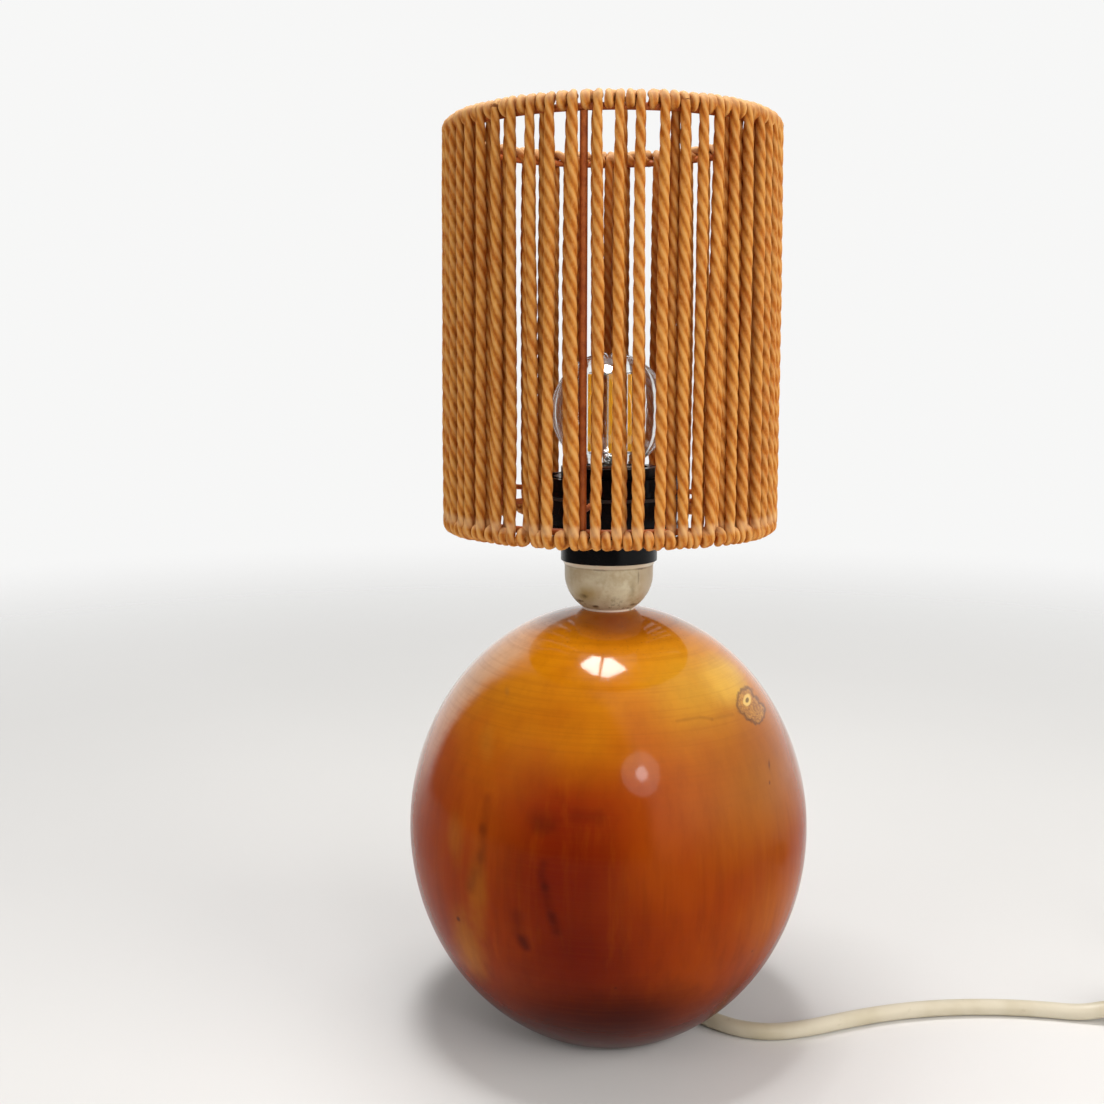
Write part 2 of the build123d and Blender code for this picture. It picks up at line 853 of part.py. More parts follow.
def plug_body():
    middle = plug_thickness / 2
    shoulder = plug_relief_length
    half_wide = plug_width / 2
    outline = make_face(
        Curve()
        + [
            Line((shoulder, -plug_waist / 2), (shoulder, plug_waist / 2)),
            Spline(
                (shoulder, plug_waist / 2),
                (shoulder + 8, plug_waist / 2 + 2.5),
                (plug_shoulder, half_wide),
                tangents=[(1, 0), (1, 0.25)],
            ),
            Line((plug_shoulder, half_wide), (plug_length, half_wide)),
            Line((plug_length, half_wide), (plug_length, -half_wide)),
            Line((plug_length, -half_wide), (plug_shoulder, -half_wide)),
            Spline(
                (plug_shoulder, -half_wide),
                (shoulder + 8, -plug_waist / 2 - 2.5),
                (shoulder, -plug_waist / 2),
                tangents=[(-1, 0.25), (-1, 0)],
            ),
        ]
    )
    body = extrude(outline, plug_thickness)
    relief = Cone(flex / 2 + 0.7, plug_relief_radius, plug_relief_length)
    relief = Pos(plug_relief_length / 2, 0, middle) * (Rot(0, 90, 0) * relief)
    return Pos(plug_face, plug_line, 0) * (body + relief)


def plug_pins():
    pins = []
    for side in (-1, 1):
        pin = Cylinder(pin_diameter / 2, pin_length)
        pin = fillet(pin.faces().sort_by(Axis.Z)[-1].edges(), pin_diameter / 2 - 0.4)
        pin = Rot(0, 90, 0) * pin
        x = plug_face + plug_length + pin_length / 2
        pins.append(Pos(x, plug_line + side * pin_spacing / 2, plug_thickness / 2) * pin)
    return pins


pieces = [
    wood_ball,
    threaded_tube,
    bottom_washer,
    bottom_nut,
    holder_cap,
    tube_lock_screw,
    holder_shell,
    holder_insert,
    terminal_clamps,
    terminal_screws,
    thread_shell,
    centre_contact,
    lower_shade_ring,
    upper_shade_ring,
    bulb_glass,
    bulb_cap,
    bulb_insulator,
    bulb_tip,
    bulb_stem,
    led_filaments,
    led_wires,
    shade_top_ring,
    shade_bottom_ring,
    shade_stays,
    carrier_ring,
    carrier_arms,
    cord_winding,
    flex_inner,
    live_core,
    neutral_core,
    flex_run,
    flex_lead,
    flex_coil,
    flex_tail,
    switch_lower_case,
    switch_upper_case,
    switch_rocker,
    switch_screws,
    switch_contacts,
    plug_body,
    plug_pins,
]

os.makedirs("parts", exist_ok=True)
for piece in pieces:
    shape = piece()
    if isinstance(shape, list):
        shape = Compound(children=[solid for item in shape for solid in item.solids()])
    export_step(shape, f"parts/{piece.__name__}.step")
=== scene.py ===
import json
import math
import random

import bmesh
import bpy
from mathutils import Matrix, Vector


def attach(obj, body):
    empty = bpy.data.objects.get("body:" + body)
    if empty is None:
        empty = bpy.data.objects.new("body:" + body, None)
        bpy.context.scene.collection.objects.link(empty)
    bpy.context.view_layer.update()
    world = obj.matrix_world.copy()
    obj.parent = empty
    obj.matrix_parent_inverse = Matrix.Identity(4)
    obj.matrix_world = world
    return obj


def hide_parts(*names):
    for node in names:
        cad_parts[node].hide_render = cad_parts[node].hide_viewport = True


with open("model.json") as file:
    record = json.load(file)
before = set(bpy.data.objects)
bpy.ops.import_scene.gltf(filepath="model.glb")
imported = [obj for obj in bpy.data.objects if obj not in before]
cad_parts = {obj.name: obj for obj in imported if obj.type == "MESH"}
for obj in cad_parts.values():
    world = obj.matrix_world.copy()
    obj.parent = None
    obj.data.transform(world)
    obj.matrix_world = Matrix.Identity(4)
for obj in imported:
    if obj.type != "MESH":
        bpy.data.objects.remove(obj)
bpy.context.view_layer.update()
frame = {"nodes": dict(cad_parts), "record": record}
random.seed(11)

# Sizes are in metres, with the front of the lamp towards -Y and the floor at 0.

# Flex: round, from under the ball to the switch, and from there to the plug
flex_diameter = 0.0066
flex_floor = flex_diameter / 2
switch_line = -0.0152
switch_level = 0.0065
switch_front = (0.222, switch_line, switch_level)
switch_back = (0.276, switch_line, switch_level)
plug_entry = (0.366, -0.0164, 0.0068)

# Coil of flex that is put away, in two layers
coil_centre_x = 0.315
coil_radius = 0.050
coil_pitch = 0.0074
coil_layer = 0.0073
coil_dip = 0.0025
coil_half_turns = 6
coil_steps = 7

# Twisted cord of the shade, and the two ring wires that it is wound over
cord_diameter = 0.0040
cord_lay = 0.0205
ply_depth = 0.20
rim_radius = 0.0631
rim_flare = 0.0012
wrap_radius = 0.0018
rim_low = 0.2103
rim_high = 0.3621
back_loops = 42
loops_per_piece = 9
outline_points = 15
upright_steps = 122
wrap_step_degrees = 20

# Sides of a ring wire, as angles round it
outside = 0
inside = math.pi

# How unevenly the cord is laid, in radians round the lamp
back_spread = 0.018
inner_spread = 0.020
lean_spread = 0.012
outer_bow = 0.010
inner_bow = 0.012

# The cord's thickness: its spread from loop to loop, and how far the wraps are drawn in
thickness_spread = 0.05
low_wrap_thickness = 0.95
high_wrap_thickness = 0.88

# Where the front cords and the cords behind them stand, in degrees from the front, positive to the right
front_cords = (-42.1, -35.8, -28.6, -22.0, -14.8, -6.8, -0.1, 6.3, 13.7, 20.3, 27.1, 32.9)
cords_behind = (-46.0, -39.5, -30.9, -25.5, -16.2, -7.6, 0.8, 7.0, 18.6, 22.3, 29.6, 36.0)

# How far the foot of each front cord stands from its head, in degrees
front_leans = (0.4, 0.0, 1.8, -0.5, 1.1, 0.0, 0.0, 0.0, -0.5, 0.8, -1.0, -1.8)

# Loops at the back that are moved so that light shows between the front cords:
# which loop, and how far its outer and its inner stretch move, in degrees
back_nudges = (
    (26, 0.0, -1.7),
    (28, -0.9, 0.0),
    (34, -2.4, -1.6),
    (36, 1.6, -1.2),
    (39, 0.9, -3.2),
)

# Where the photograph was taken from
camera_place = (-0.02325, -0.504, 0.2707)
camera_dip_degrees = 8.30
camera_sensor_mm = 36
camera_lens_mm = 40.63

# Broad patches on the ball, of the stain's tones and of painted light: centre, radii and tone
stain_and_painted_light_patches = (
    # The first two, on the right, are lighter partly as a painted reflection of a bright wall
    ((0.036, -0.050, 0.154), (0.040, 0.050, 0.026), (188, 136, 34)),
    ((0.052, -0.045, 0.118), (0.045, 0.060, 0.045), (156, 88, 6)),
    ((0.062, -0.045, 0.066), (0.036, 0.050, 0.034), (158, 76, 2)),
    ((0.034, -0.070, 0.046), (0.030, 0.036, 0.034), (140, 54, 1)),
    ((-0.066, -0.040, 0.092), (0.030, 0.044, 0.050), (144, 52, 1)),
    ((-0.062, -0.046, 0.046), (0.030, 0.044, 0.036), (128, 42, 2)),
    ((-0.018, -0.078, 0.112), (0.046, 0.046, 0.030), (138, 40, 1)),
    ((-0.020, -0.080, 0.092), (0.042, 0.044, 0.034), (112, 24, 1)),
    ((-0.012, -0.080, 0.062), (0.044, 0.046, 0.040), (98, 19, 1)),
    # The foot, darkened as painted shade
    ((0.004, -0.080, 0.030), (0.050, 0.056, 0.026), (56, 8, 1)),
    # A painted reflection of the black holder, on the crown below it
    ((0.002, -0.024, 0.174), (0.028, 0.032, 0.012), (142, 60, 3)),
)

# Pale places on the crown and above the knot, partly rubbed varnish and partly painted
# reflections of a bright room: centre, radii and tone
worn_and_mirrored_places = (
    ((-0.026, -0.006, 0.172), (0.016, 0.018, 0.010), (176, 132, 102)),
    ((0.036, -0.002, 0.170), (0.014, 0.018, 0.010), (176, 126, 84)),
    ((0.045, -0.032, 0.1525), (0.016, 0.024, 0.013), (206, 156, 52)),
)

# Pale flecks up the left side, the highest one a painted highlight: centre, radii and strength
pale_flecks_and_glint = (
    ((-0.0550, -0.0550, 0.0520), (0.011, 0.018, 0.030), 0.60),
    ((-0.0505, -0.0640, 0.0800), (0.006, 0.016, 0.026), 0.40),
    ((-0.0598, -0.0556, 0.0965), (0.005, 0.016, 0.016), 0.30),
    ((-0.0477, -0.0507, 0.1324), (0.005, 0.012, 0.010), 0.40),
    # A painted highlight
    ((-0.0404, -0.0408, 0.1491), (0.0016, 0.012, 0.0020), 0.90),
)

# Dark streaks in the wood: the places each runs through, its half width and its strength
dark_streaks = (
    (((-0.0471, -0.0617, 0.1143), (-0.0480, -0.0632, 0.1083), (-0.0489, -0.0640, 0.1029)), 0.0036, 0.28),
    (((-0.0489, -0.0640, 0.1029), (-0.0487, -0.0653, 0.0976), (-0.0498, -0.0652, 0.0929)), 0.0036, 0.44),
    (((-0.0498, -0.0652, 0.0929), (-0.0514, -0.0644, 0.0875), (-0.0534, -0.0628, 0.0798)), 0.0044, 0.30),
    (((-0.0264, -0.0773, 0.0955), (-0.0270, -0.0776, 0.0919), (-0.0258, -0.0783, 0.0869)), 0.0028, 0.52),
    (((-0.0258, -0.0783, 0.0869), (-0.0246, -0.0787, 0.0803), (-0.0228, -0.0789, 0.0747)), 0.0032, 0.42),
    (((-0.0232, -0.0789, 0.0760), (-0.0222, -0.0789, 0.0725), (-0.0216, -0.0788, 0.0705)), 0.0036, 0.60),
    (((-0.0361, -0.0736, 0.0740), (-0.0356, -0.0730, 0.0669), (-0.0338, -0.0732, 0.0635)), 0.0044, 0.36),
    (((-0.0342, -0.0732, 0.0645), (-0.0328, -0.0732, 0.0616)), 0.0034, 0.66),
    (((-0.0290, -0.0732, 0.1113), (-0.0229, -0.0754, 0.1100)), 0.0060, 0.28),
    (((-0.0150, -0.0765, 0.1132), (-0.0061, -0.0779, 0.1126)), 0.0044, 0.25),
    (((0.0228, -0.0585, 0.1427), (0.0318, -0.0539, 0.1429), (0.0366, -0.0520, 0.1416)), 0.0012, 0.22),
    (((0.0366, -0.0520, 0.1416), (0.0455, -0.0446, 0.1415)), 0.0014, 0.18),
    (((0.0300, -0.0700, 0.1132), (0.0420, -0.0650, 0.1128)), 0.0012, 0.20),
)

# Small dark spots in the wood: centre, radii and strength
dark_spots = (
    ((-0.0270, -0.0770, 0.1080), (0.0060, 0.020, 0.0050), 0.30),
    ((-0.0589, -0.0553, 0.0642), (0.0011, 0.020, 0.0015), 0.80),
    ((0.0597, -0.0465, 0.1220), (0.0006, 0.020, 0.0026), 0.55),
    ((0.0592, -0.0480, 0.1160), (0.0005, 0.020, 0.0010), 0.60),
    ((0.0000, -0.0720, 0.0470), (0.0012, 0.020, 0.0010), 0.60),
    ((0.0530, -0.0540, 0.0520), (0.0010, 0.020, 0.0010), 0.55),
)

# The knot's three lobes and its eye: centre and radii
knot_high = ((0.0520, -0.0330, 0.1436), (0.0046, 0.030, 0.0040))
knot_middle = ((0.0545, -0.0340, 0.1408), (0.0046, 0.030, 0.0034))
knot_low = ((0.0572, -0.0340, 0.1384), (0.0040, 0.030, 0.0030))
knot_eye = ((0.0527, -0.0322, 0.1437), (0.0024, 0.030, 0.0019))

# The knot's dark left side and the seam through it
knot_side = ((0.0484, -0.0390, 0.1425), (0.0500, -0.0400, 0.1395), (0.0530, -0.0400, 0.1372))
knot_seam = ((0.0560, -0.0310, 0.1420), (0.0552, -0.0335, 0.1400), (0.0575, -0.0330, 0.1392))

# Dark stains on the lampholder's cap: centre, radii and strength
cap_stains = (
    ((-0.0105, -0.0135, 0.1812), (0.0022, 0.006, 0.0014), 0.75),
    ((-0.0118, -0.0080, 0.1785), (0.0022, 0.006, 0.0010), 0.95),
    ((-0.0057, -0.0110, 0.1768), (0.0019, 0.006, 0.0010), 0.95),
    ((0.0094, -0.0090, 0.1772), (0.0024, 0.006, 0.0010), 0.85),
    ((0.0075, -0.0110, 0.1755), (0.0012, 0.006, 0.0009), 0.90),
    ((0.0125, -0.0140, 0.1925), (0.0034, 0.006, 0.0008), 0.65),
    ((-0.0045, -0.0185, 0.1924), (0.0052, 0.004, 0.0007), 0.65),
    ((0.0112, -0.0150, 0.1895), (0.0005, 0.006, 0.0040), 0.45),
    ((0.0088, -0.0160, 0.1830), (0.0016, 0.006, 0.0050), 0.30),
)


def shade(red, green, blue):
    """A colour given as it shows, 0 to 255, turned into the light it reflects."""

    def reflected(v):
        return v / 255 / 12.92 if v < 11 else ((v / 255 + 0.055) / 1.055) ** 2.4

    return (reflected(red), reflected(green), reflected(blue), 1)


class Painter:
    """Steps in the node tree of a material or of the room."""

    def __init__(self, tree):
        self.nodes = tree.nodes
        self.links = tree.links

    def feed(self, socket, value):
        """Links another step's result to a socket, or sets a plain value there."""
        if isinstance(value, bpy.types.NodeSocket):
            self.links.new(value, socket)
        else:
            socket.default_value = value

    def number(self, kind, first, second=0.0):
        step = self.nodes.new("ShaderNodeMath")
        step.operation = kind
        self.feed(step.inputs[0], first)
        self.feed(step.inputs[1], second)
        return step.outputs[0]

    def times(self, first, second):
        return self.number("MULTIPLY", first, second)

    def apart(self, value, middle):
        """How far a value is from a middle one, on either side."""
        return self.number("ABSOLUTE", self.number("SUBTRACT", value, middle))

    def shake(self, noise, amount):
        """A noise of 0 to 1 as a shift to both sides, an amount wide in all."""
        return self.times(self.number("SUBTRACT", noise, 0.5), amount)

    def vector(self, kind, first, second=(0, 0, 0), out="Vector"):
        step = self.nodes.new("ShaderNodeVectorMath")
        step.operation = kind
        self.feed(step.inputs[0], first)
        self.feed(step.inputs[1], second)
        return step.outputs[out]

    def ranged(self, value, low, high, to_low=0.0, to_high=1.0):
        """A value's way from low to high, smoothed, as the way from to_low to to_high."""
        spread = self.nodes.new("ShaderNodeMapRange")
        spread.interpolation_type = "SMOOTHSTEP"
        self.feed(spread.inputs["Value"], value)
        spread.inputs["From Min"].default_value = low
        spread.inputs["From Max"].default_value = high
        spread.inputs["To Min"].default_value = to_low
        spread.inputs["To Max"].default_value = to_high
        return spread.outputs["Result"]

    def glow(self, colour):
        light = self.nodes.new("ShaderNodeBackground")
        light.inputs["Color"].default_value = colour
        return light.outputs[0]

    def either(self, amount, first, second):
        """One shader at an amount of 0, the other at 1."""
        choice = self.nodes.new("ShaderNodeMixShader")
        self.feed(choice.inputs["Fac"], amount)
        self.feed(choice.inputs[1], first)
        self.feed(choice.inputs[2], second)
        return choice.outputs["Shader"]


class Finish(Painter):
    """A material, painted in object coordinates unless it says otherwise."""

    def __init__(self, name, roughness=0.5, metallic=0.0, **sockets):
        self.material = bpy.data.materials.new(name)
        self.material.use_nodes = True
        super().__init__(self.material.node_tree)
        self.shader = self.nodes["Principled BSDF"]
        self.shader.inputs["Roughness"].default_value = roughness
        self.shader.inputs["Metallic"].default_value = metallic
        for socket, value in sockets.items():
            self.shader.inputs[socket.replace("_", " ")].default_value = value
        coordinates = self.nodes.new("ShaderNodeTexCoord").outputs
        self.place = coordinates["Object"]
        self.uv = coordinates["UV"]

    def mapped(self, scale, shift=(0, 0, 0)):
        mapping = self.nodes.new("ShaderNodeMapping")
        mapping.inputs["Scale"].default_value = scale
        mapping.inputs["Location"].default_value = shift
        self.links.new(self.place, mapping.inputs["Vector"])
        return mapping.outputs["Vector"]

    def clouds(self, scale, detail=3, roughness=0.55, source=None, distortion=0.0):
        noise = self.nodes.new("ShaderNodeTexNoise")
        noise.inputs["Scale"].default_value = scale
        noise.inputs["Detail"].default_value = detail
        noise.inputs["Roughness"].default_value = roughness
        noise.inputs["Distortion"].default_value = distortion
        self.links.new(source or self.place, noise.inputs["Vector"])
        return noise.outputs["Fac"]

    def blend(self, amount, under, over):
        mix = self.nodes.new("ShaderNodeMix")
        mix.data_type = "RGBA"
        self.feed(mix.inputs["Factor"], amount)
        self.feed(mix.inputs["A"], under)
        self.feed(mix.inputs["B"], over)
        return mix.outputs["Result"]

    def part(self, axis, source=None):
        """The X, Y or Z of a point."""
        split = self.nodes.new("ShaderNodeSeparateXYZ")
        self.links.new(source or self.place, split.inputs["Vector"])
        return split.outputs[axis]

    def distance(self, centre, radii, wobble=0.0, wobble_scale=200.0):
        """How far a point is from a mark, where 1 is the mark's edge."""
        scale = tuple(1 / r for r in radii)
        shift = tuple(-c / r for c, r in zip(centre, radii))
        away = self.vector("LENGTH", self.mapped(scale, shift), out="Value")
        if wobble:
            away = self.number("ADD", away, self.shake(self.clouds(wobble_scale), wobble))
        return away

    def mark(self, centre, radii, wobble, wobble_scale, core=0.1):
        """1 in the middle of a soft mark, 0 outside it."""
        return self.ranged(self.distance(centre, radii, wobble, wobble_scale), core, 1.0, 1.0, 0.0)

    def marked(self, under, places, tone, wobble, wobble_scale):
        """Soft marks of one tone over a colour: each has its centre, radii and strength."""
        for centre, radii, amount in places:
            mark = self.mark(centre, radii, wobble, wobble_scale)
            under = self.blend(self.times(mark, amount), under, tone)
        return under

    def streak(self, places, width, wobble=0.35, wobble_scale=300.0):
        """1 along the middle of a soft, broken line through some places, 0 a width away from it."""
        nearest = None
        for start, end in zip(places, places[1:]):
            start, run = Vector(start), Vector(end) - Vector(start)
            rest = self.vector("SUBTRACT", self.place, tuple(start))
            along = self.vector("DOT_PRODUCT", rest, tuple(run / run.length_squared), "Value")
            along = self.number("MINIMUM", self.number("MAXIMUM", along, 0.0), 1.0)
            reach = self.nodes.new("ShaderNodeVectorMath")
            reach.operation = "SCALE"
            reach.inputs[0].default_value = tuple(run)
            self.links.new(along, reach.inputs["Scale"])
            away = self.vector("DISTANCE", rest, reach.outputs["Vector"], "Value")
            nearest = away if nearest is None else self.number("MINIMUM", nearest, away)
        away = self.number("ADD", nearest, self.shake(self.clouds(wobble_scale), wobble * width))
        faint = self.ranged(self.clouds(70), 0.32, 0.60, 0.60, 1.0)
        return self.times(self.ranged(away, 0.0, width, 1.0, 0.0), faint)

    def streaked(self, under, places, width, amount, tone):
        return self.blend(self.times(self.streak(places, width), amount), under, tone)

    def colour(self, value):
        self.feed(self.shader.inputs["Base Color"], value)
        return self

    def rough(self, value):
        self.feed(self.shader.inputs["Roughness"], value)
        return self

    def bump(self, height, distance, strength=1.0):
        bump = self.nodes.new("ShaderNodeBump")
        bump.inputs["Strength"].default_value = strength
        bump.inputs["Distance"].default_value = distance
        self.links.new(height, bump.inputs["Height"])
        self.links.new(bump.outputs["Normal"], self.shader.inputs["Normal"])
        return self


# Wood


def stain_and_painted_light(f, height):
    """Golden above and darker towards the foot, the foot partly as painted shade, with broad patches of stain
    and of painted light.
    """
    level = f.number("ADD", height, f.shake(f.clouds(16, 3), 0.07))
    colour = f.blend(f.ranged(level, 0.010, 0.070), shade(70, 14, 1), shade(138, 48, 2))
    colour = f.blend(f.ranged(level, 0.070, 0.128), colour, shade(166, 74, 3))
    colour = f.blend(f.ranged(level, 0.122, 0.158), colour, shade(196, 118, 8))
    for centre, radii, tone in stain_and_painted_light_patches:
        colour = f.blend(f.mark(centre, radii, 0.35, 24, 0.0), colour, shade(*tone))
    for centre, radii, tone in worn_and_mirrored_places:
        colour = f.blend(f.mark(centre, radii, 0.35, 40, 0.35), colour, shade(*tone))
    return colour


def painted_left_sheen(f, height, colour):
    """A painted reflection of a bright wall: a pale stretch up the left shoulder, with a ragged edge towards
    the front.
    """
    ragged = f.shake(f.clouds(1.0, 4, 0.6, f.mapped((40, 40, 190))), 0.009)
    forward = f.number("ADD", f.part("Y"), ragged)
    mirrored_sheen = f.times(f.ranged(forward, -0.0335, -0.0230), f.ranged(forward, -0.015, 0.030, 1.0, 0.0))
    mirrored_sheen = f.times(mirrored_sheen, f.ranged(f.part("X"), -0.038, -0.024, 1.0, 0.0))
    mirrored_sheen = f.times(mirrored_sheen, f.ranged(height, 0.098, 0.150, 0.0, 0.62))
    return f.blend(mirrored_sheen, colour, shade(214, 170, 128))


def grained(f, height, turning, colour):
    """Dark and light grain that stands upright, fine lines from the lathe, and specks on the crown."""
    grain = f.ranged(f.clouds(1.0, 5, 0.65, f.mapped((200, 200, 16))), 0.40, 0.72)
    grain = f.times(grain, f.ranged(height, 0.080, 0.140, 0.20, 0.10))
    colour = f.blend(grain, colour, shade(72, 16, 1))
    light_grain = f.ranged(f.clouds(1.0, 4, 0.6, f.mapped((150, 150, 12), (3, 1, 2))), 0.50, 0.78)
    light_grain = f.times(light_grain, f.ranged(height, 0.030, 0.070, 0.0, 0.10))
    colour = f.blend(light_grain, colour, shade(206, 112, 8))
    lines = f.times(f.ranged(turning, 0.42, 0.74), f.ranged(height, 0.085, 0.140, 0.08, 0.26))
    colour = f.blend(lines, colour, shade(140, 70, 6))
    specks = f.times(f.ranged(f.clouds(1300, 2, 0.5), 0.62, 0.72), f.ranged(height, 0.158, 0.170))
    return f.blend(f.times(specks, 0.60), colour, shade(92, 56, 26))


def knotted(f, colour):
    """A knot of three lobes with a fibrous inside, a brown edge and a pale eye."""
    knot = f.number("MINIMUM", f.distance(*knot_high, 0.50, 420), f.distance(*knot_low, 0.50, 420))
    knot = f.number("MINIMUM", knot, f.distance(*knot_middle, 0.50, 420))
    fibres = f.ranged(f.clouds(700, 4, 0.65, distortion=1.2), 0.40, 0.62)
    filling = f.blend(fibres, shade(186, 130, 56), shade(136, 88, 46))
    colour = f.blend(f.ranged(knot, 0.80, 1.0, 0.85, 0.0), colour, filling)
    edge = f.times(f.ranged(knot, 0.74, 0.90), f.ranged(knot, 0.94, 1.16, 1.0, 0.0))
    colour = f.blend(f.times(edge, 0.70), colour, shade(92, 54, 24))
    colour = f.streaked(colour, knot_side, 0.0013, 0.75, shade(60, 34, 14))
    eye = f.distance(*knot_eye, 0.30, 500)
    colour = f.blend(f.ranged(eye, 0.7, 1.0, 0.85, 0.0), colour, shade(224, 186, 104))
    colour = f.blend(f.ranged(eye, 0.25, 0.45, 0.85, 0.0), colour, shade(96, 64, 22))
    return f.streaked(colour, knot_seam, 0.0008, 0.7, shade(104, 62, 34))


def varnished_wood():
    """Turned wood with a stain, painted shade and reflections in its colour, and a varnish glossier above
    than below.
    """
    f = Finish("varnished_wood", 0.20, Coat_Roughness=0.08, Coat_IOR=1.3, Specular_IOR_Level=0.03)
    height = f.part("Z")
    turning = f.clouds(1.0, 5, 0.70, f.mapped((12, 12, 900)))
    f.feed(f.shader.inputs["Coat Weight"], f.ranged(height, 0.090, 0.118, 0.14, 1.0))
    colour = painted_left_sheen(f, height, stain_and_painted_light(f, height))
    colour = f.marked(colour, pale_flecks_and_glint, shade(176, 108, 26), 0.6, 80)
    colour = grained(f, height, turning, colour)
    for places, width, amount in dark_streaks:
        colour = f.streaked(colour, places, width, amount, shade(64, 12, 3))
    colour = f.marked(colour, dark_spots, shade(58, 16, 5), 0.9, 260)
    f.colour(knotted(f, colour))
    f.rough(f.ranged(f.clouds(30, 3), 0.3, 0.7, 0.16, 0.26))
    return f.bump(turning, 0.00010, 0.30).material


# Plastic, metal, glass and light


def cream_plastic():
    """Old pale plastic, darker at its edges as painted shade, with stains, a chipped foot and a seam under
    its lip.
    """
    f = Finish("cream_plastic", 0.38, Coat_Weight=0.2, Coat_Roughness=0.2)
    height = f.part("Z")
    mottling = f.ranged(f.clouds(150, 4, 0.6), 0.35, 0.68)
    colour = f.blend(mottling, shade(214, 205, 174), shade(188, 170, 134))
    # Painted shade: darker towards the left and right edges
    side_shade = f.ranged(f.apart(f.part("X"), -0.002), 0.008, 0.0175, 0.0, 0.55)
    colour = f.blend(side_shade, colour, shade(152, 132, 94))
    brown_stain = f.mark((-0.0100, -0.0140, 0.1820), (0.008, 0.010, 0.007), 0.9, 300, 0.0)
    colour = f.blend(brown_stain, colour, shade(168, 144, 92))
    # A painted reflection, lighter down the right edge
    lit_right_edge = f.ranged(f.part("X"), 0.0105, 0.0125, 0.0, 0.35)
    colour = f.blend(lit_right_edge, colour, shade(184, 154, 122))
    grime = f.times(f.ranged(f.clouds(330, 4, 0.65), 0.52, 0.68), f.ranged(height, 0.1755, 0.1840, 1.0, 0.0))
    colour = f.blend(f.times(grime, 0.8), colour, shade(116, 96, 44))
    colour = f.marked(colour, cap_stains, shade(84, 64, 34), 1.0, 800)
    chips = f.times(f.ranged(height, 0.1749, 0.1756, 0.9, 0.0), f.ranged(f.clouds(260, 3), 0.36, 0.52))
    colour = f.blend(chips, colour, shade(226, 208, 188))
    seam = f.ranged(f.apart(height, 0.1924), 0.0001, 0.0005, 0.35, 0.0)
    colour = f.blend(seam, colour, shade(120, 100, 70))
    # A painted highlight on the lip
    lip = f.ranged(height, 0.1926, 0.1931)
    f.colour(f.blend(lip, colour, shade(216, 206, 184)))
    return f.bump(f.clouds(900, 2), 0.00006, 0.4).material


def black_plastic():
    f = Finish("black_plastic", 0.3, Specular_IOR_Level=0.14)
    dust = f.ranged(f.clouds(420, 5, 0.7), 0.62, 0.80)
    f.colour(f.blend(dust, shade(6, 5, 7), shade(30, 27, 26)))
    f.rough(f.ranged(f.clouds(80, 3), 0.3, 0.7, 0.16, 0.30))
    return f.bump(f.clouds(1100, 2), 0.00004, 0.3).material


def plain_metal(name, light, dark, roughness):
    f = Finish(name, roughness, 1.0)
    f.colour(f.blend(f.ranged(f.clouds(160, 4), 0.35, 0.7), light, dark))
    f.rough(f.ranged(f.clouds(300, 3), 0.3, 0.7, roughness * 0.8, roughness * 1.3))
    return f.bump(f.clouds(1500, 2), 0.00003, 0.3).material


def moulded(name, light, dark, roughness=0.42):
    f = Finish(name, roughness)
    f.colour(f.blend(f.ranged(f.clouds(90, 4), 0.35, 0.7), light, dark))
    return f.bump(f.clouds(1400, 2), 0.00004, 0.35).material


def clear_glass():
    f = Finish("clear_glass", 0.0, Transmission_Weight=1.0, IOR=1.46)
    f.rough(f.ranged(f.clouds(120, 3), 0.4, 0.75, 0.0, 0.03))
    return f.colour(f.blend(f.clouds(40, 2), shade(252, 253, 252), shade(247, 249, 248))).material


def led_phosphor():
    """The LED sticks glow a little, to look as bright as in the photograph."""
    f = Finish("led_phosphor", 0.4, Emission_Color=shade(255, 176, 30), Emission_Strength=0.25)
    return f.colour(f.blend(f.clouds(500, 2), shade(255, 184, 34), shade(240, 160, 24))).material


# Wire, paper cord and flex


def frame_wire():
    f = Finish("frame_wire", 0.5, Specular_IOR_Level=0.25)
    rust = f.ranged(f.clouds(240, 4, 0.65), 0.40, 0.66)
    f.colour(f.blend(rust, shade(190, 104, 48), shade(158, 76, 30)))
    return f.bump(f.clouds(900, 3), 0.00006, 0.5).material


